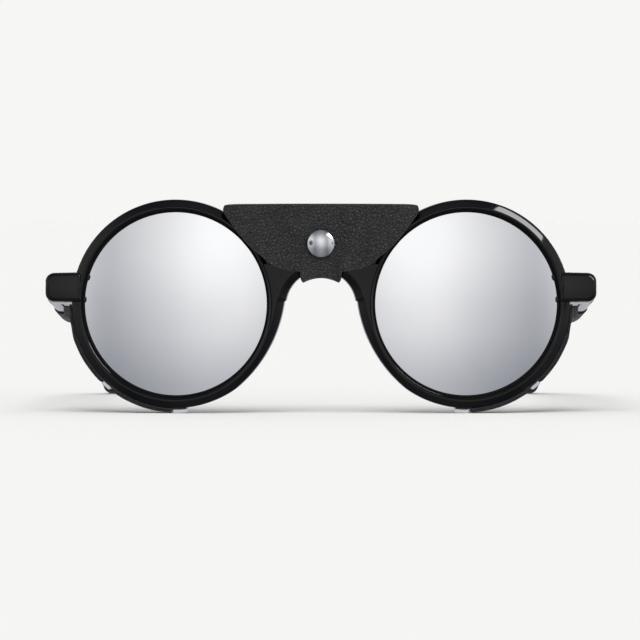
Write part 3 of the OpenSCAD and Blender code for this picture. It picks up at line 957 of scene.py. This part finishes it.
def make_shield(name, side):
    """The leather round the outer half of one rim, with its stitches."""
    top_angle = math.degrees(math.asin((LENS_Z - SHIELD_TOP) / SHELL_MID_R))
    first, last = LOBE_FROM, FOOT_FROM - 1.2

    def place(u, v):
        angle = first + (last - first) * u
        a = radians(angle)
        z = LENS_Z - SHELL_MID_R * sin(a)
        # the upper rear corner is rounded, and above it only the front ear goes on
        main = smoothstep((angle - top_angle + 0.6) / 0.9)
        end = shield_rear(min(z, SHIELD_TOP)) - 4.2 * (
            1 - smoothstep((angle - top_angle) / 5.5)) ** 1.5
        ear = LOBE_DEPTH - 3.6 * (1 - smoothstep((angle - first) / 3.5))
        end = ear + (end - ear) * main
        start = shield_front(angle)
        depth = start + (end - start) * v
        # the leather crowns a little between its edges, and leans in towards the cheek
        r = SHELL_MID_R - 0.016 * max(0.0, depth - 4) - 0.12
        r += 0.25 * sin(pi * v) * smoothstep((end - start - 4) / 8) * main
        r -= 0.35 * (1 - smoothstep((angle - top_angle) / 9)) * (1 - smoothstep((depth - 2) / 8))
        r += LOBE_OUT * shield_lobe(angle) * smoothstep((depth - 1.5) / 4)
        r += 0.08 * noise.noise(Vector((angle * 0.09, depth * 0.16, 5.0 * side)))
        return rim_point(side, LENS_U + r * cos(a), depth, LENS_Z - r * sin(a))

    us = [k / 190 for k in range(191)]
    vs = [k / 40 for k in range(41)]
    rows = surface_rows(place, us, vs)
    obj = thick_sheet(f"shield_leather_{name}", rows, SHELL_T, SHIELD_LEATHER_PAINTED_SHADE, SHIELD_EDGE_PAINTED_SHADE)
    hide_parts(f"shield_{name}")
    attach(obj, "front")
    upper = (top_angle + 2.2 - first) / (last - first)
    make_stitches(name, side, place, upper)


def rim_plate(name, side, angles, radii, depths, material):
    """A plate bent round the rim, between two angles, two radii and two depths."""
    count = max(4, int((angles[1] - angles[0]) / 0.8))
    points = []
    for k in range(count + 1):
        a = radians(angles[0] + (angles[1] - angles[0]) * k / count)
        for r, depth in ((radii[0], depths[0]), (radii[1], depths[0]), (radii[1], depths[1]),
                         (radii[0], depths[1])):
            points.append(rim_point(side, LENS_U + r * cos(a), depth, LENS_Z - r * sin(a)))
    obj = outward(mesh_object(name, points, bar_faces(count + 1, 4), material))
    sharp_by_angle(obj, 30)
    edge = obj.modifiers.new("rolled_edges", "BEVEL")
    edge.width, edge.segments, edge.limit_method = 0.08 * MM, 2, "ANGLE"
    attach(obj, "front")
    return obj


def make_stay(name, side):
    """The steel strip between rim and leather, with its two bright clips."""
    band = rim_plate(f"stay_band_{name}", side, (16, 96), (26.9, 27.2), (1.25, 5.2), BLUED_STEEL)
    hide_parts(f"shield_stay_{name}")
    rim_plate(f"stay_clip_{name}", side, (47.0, 52.0), (27.2, 28.1), (1.2, 5.2), NICKEL)
    rim_plate(f"stay_foot_{name}", side, (FOOT_FROM + 0.3, 95.6), (27.2, LENS_Z), (1.2, 5.2),
              NICKEL)


def stitch(points, faces, centre, along, out, length, radius):
    """Adds one stitch: a short thread that arches out of the leather and dips back in."""
    across = along.cross(out).normalized()
    rings, sides = 7, 8
    start = len(points)
    for i in range(rings):
        t = i / (rings - 1)
        middle = centre + along * (t - 0.5) * length + out * (sin(pi * t) * 0.75 - 0.35) * radius
        r = radius * (0.55 + 0.45 * sin(pi * t))
        for k in range(sides):
            a = 2 * pi * k / sides
            points.append(middle + across * r * cos(a) + out * r * 0.8 * sin(a))
    faces += [tuple(start + n for n in face) for face in bar_faces(rings, sides)]


def make_stitches(name, side, place, upper):
    """A row of stitches inside the shield's upper and rear edges."""
    points, faces = [], []
    # along the upper edge from front to rear, then down beside the rear edge
    route = [(upper, v / 200) for v in range(70, 186)]
    route += [(upper + (0.96 - upper) * k / 600, 1 - 0.07 - 0.05 * k / 600) for k in range(601)]
    spacing, length, radius = 1.45 * MM, 1.02 * MM, 0.17 * MM
    last = place(*route[0])
    walked = 0.0
    for (u0, v0), (u1, v1) in zip(route, route[1:]):
        p = place(u1, v1)
        walked += (p - last).length
        last = p
        if walked < spacing:
            continue
        walked = 0.0
        e = 1e-3
        du = place(u1 + e, v1) - place(u1 - e, v1)
        dv = place(u1, v1 + e) - place(u1, v1 - e)
        out = du.cross(dv).normalized()
        axis = rim_point(side, LENS_U, 0, LENS_Z)
        if out.dot(p - axis) < 0:
            out = -out
        along = (p - place(u0, v0)).normalized()
        for face in (1, -1):
            stitch(points, faces, p + out * face * SHELL_T / 2 * MM, along, out * face, length,
                   radius)
    obj = outward(mesh_object(f"shield_stitches_{name}", points, faces, THREAD))
    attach(obj, "front")


# ---------------------------------------------------------------- camera, floor and light
# the studio's brightness in a direction is a level at its |x| times a level at its z
WORLD_OVER_WIDTH = [(0.0, 0.94), (0.1, 0.92), (0.2, 0.79), (0.3, 0.67), (0.4, 0.55),
                    (0.48, 0.46), (0.56, 0.6), (0.66, 0.8), (1.0, 0.8)]
WORLD_OVER_HEIGHT = [(-1.0, 0.2), (-0.7, 0.42), (-0.5, 0.45), (-0.35, 0.57), (-0.25, 0.71),
                     (-0.15, 0.86), (0.0, 1.02), (0.1, 1.13), (0.2, 1.2), (0.3, 1.2),
                     (0.45, 1.1), (0.7, 0.42), (1.0, 0.2)]
# dark things in the studio: direction, size in radians, how much they take away
WORLD_FLAGS = [((-0.75, -0.66, 0.05), 0.15, 0.85), ((0.84, -0.54, 0.03), 0.09, 0.6)]
# the studio's tint at each brightness, cooler where it is darker
WORLD_TINTS = [(0.0, (0.0, 0.0, 0.0)), (0.3, (0.293, 0.305, 0.338)), (0.6, (0.59, 0.6, 0.63)),
               (0.85, (0.85, 0.85, 0.86)), (1.2, (1.2, 1.2, 1.2))]
# levels go into a colour ramp as shares of these, so that none is above 1
WORLD_CURVE_TOP, WORLD_TOP = 1.5, 1.2
# how much brighter the studio is for diffuse light than for reflections, and its level behind
WORLD_DIFFUSE, WORLD_BEHIND = 1.12, 0.6
# what the camera sees past the floor
BACKDROP = (0.922, 0.922, 0.905, 1)


def make_camera():
    """Straight in front, a little above the glasses, through a long lens."""
    data = bpy.data.cameras.new("camera")
    camera = add_object("camera", data)
    middle_x, aim_z, camera_z, distance = -0.25, 24.1, 52, 1200
    target = metres(middle_x, 0, aim_z)
    camera.location = metres(middle_x, -distance, camera_z)
    camera.rotation_euler = (target - camera.location).to_track_quat("-Z", "Y").to_euler()
    data.lens, data.sensor_width = 263.3, 36
    data.clip_start, data.clip_end = 0.05, 60
    bpy.context.scene.camera = camera


def make_floor():
    """A plain pale floor."""
    size = 20.0
    floor = mesh_object("floor", [(-size, -size, 0), (size, -size, 0), (size, size, 0),
                                  (-size, size, 0)], [(0, 1, 2, 3)], floor_material())
    floor.visible_glossy = False


def floor_material():
    """Dull, pale paper."""
    m = Nodes("pale_floor")
    tone = m.noise(m.position(), 6, 2)
    m.feed(m.shader, Base_Color=m.ramp(tone, [(0.0, (0.84, 0.832, 0.798)),
                                              (1.0, (0.842, 0.834, 0.8))]),
           Roughness=1.0, Specular_IOR_Level=0.0)
    return m.material


def world_curve(m, value, start, stops):
    """Brightness over a value from start to 1, on a smooth curve led by the stops."""
    stops = [((place - start) / (1 - start), [level / WORLD_CURVE_TOP] * 3)
             for place, level in stops]
    along = m.grey(value, 0.0, 1.0, start, 1.0)
    return m.math("MULTIPLY", m.ramp(along, stops, "B_SPLINE"), WORLD_CURVE_TOP)


def world_level(m):
    """Brightness in each direction: over height, times over width, less the dark things."""
    direction = m.add("TexCoord").outputs["Generated"]
    split = m.feed(m.add("SeparateXYZ"), Vector=direction)
    x, y, z = split.outputs
    level = m.math("MULTIPLY", world_curve(m, m.math("ABSOLUTE", x), 0, WORLD_OVER_WIDTH),
                   world_curve(m, z, -1, WORLD_OVER_HEIGHT))
    for spot, size, strength in WORLD_FLAGS:
        # a dark thing is full up to 0.6 of its size and fades out at 1.6 of it
        turned = m.add("VectorMath", operation="DOT_PRODUCT")
        m.put(direction, turned.inputs[0])
        m.put(Vector(spot).normalized(), turned.inputs[1])
        shade = m.grey(turned.outputs["Value"], 0.0, strength, cos(size * 1.6), cos(size * 0.6),
                       "SMOOTHSTEP")
        level = m.math("MULTIPLY", level, m.math("SUBTRACT", 1.0, shade))
    # behind the glasses the studio is even
    blend = m.add("Mix")
    m.put(m.grey(y, 0.0, 1.0, -0.15, 0.35, "SMOOTHSTEP"), blend.inputs[0])
    m.put(level, blend.inputs[2])
    m.put(WORLD_BEHIND, blend.inputs[3])
    return blend.outputs[0]


def make_world():
    """Soft studio surroundings for light and reflections, and a plain backdrop."""
    world = bpy.data.worlds.new("studio")
    bpy.context.scene.world = world
    m = Tree(world)
    tints = [(place / WORLD_TOP, colour) for place, colour in WORLD_TINTS]
    tint = m.ramp(m.math("DIVIDE", world_level(m), WORLD_TOP), tints)
    path = m.add("LightPath")
    strength = m.grey(path.outputs["Is Diffuse Ray"], 1.0, WORLD_DIFFUSE)
    studio = m.feed(m.add("Background"), Color=tint, Strength=strength)
    backdrop = m.feed(m.add("Background"), Color=BACKDROP, Strength=1.0)
    choose = m.add("MixShader")
    m.put(path.outputs["Is Camera Ray"], choose.inputs[0])
    m.put(studio.outputs[0], choose.inputs[1])
    m.put(backdrop.outputs[0], choose.inputs[2])
    m.feed(m.add("OutputWorld"), Surface=choose.outputs[0])


def lamp(name, kind, energy, place, aim, roll=0.0, **values):
    """A light at a place in metres, turned to face another place."""
    data = bpy.data.lights.new(name, kind)
    data.energy = energy
    for key, value in values.items():
        setattr(data, key, value)
    obj = add_object(name, data)
    obj.location = place
    turn = (Vector(aim) - Vector(place)).to_track_quat("-Z", "Y").to_matrix()
    obj.rotation_euler = (turn @ Matrix.Rotation(roll, 3, "Z")).to_euler()
    return obj


def make_lights():
    """A soft key from above, and the card that edges one rim with light."""
    sun = lamp("key", "SUN", energy=1.9, place=(-0.12, -0.66, 1.25), aim=(0, 0, 0),
               angle=radians(48))
    sun.visible_glossy = False
    card = lamp("edge_card", "AREA", energy=1.04, place=(0.3065, -0.3228, 0.3148),
                aim=(0.053, -0.066, 0.049), roll=radians(-52), shape="RECTANGLE", size=0.207,
                size_y=0.1)
    card.visible_diffuse = False


bpy.context.scene.view_settings.view_transform = "Standard"
make_camera()
make_floor()
make_world()
make_lights()
dress_cad_nodes()
make_front()
for side_name, side_sign in SIDES.items():
    make_lens(side_name, side_sign)
    make_temple(side_name, side_sign)
    make_shield(side_name, side_sign)
    make_stay(side_name, side_sign)
make_flap()
make_strap()
make_snap_cap()
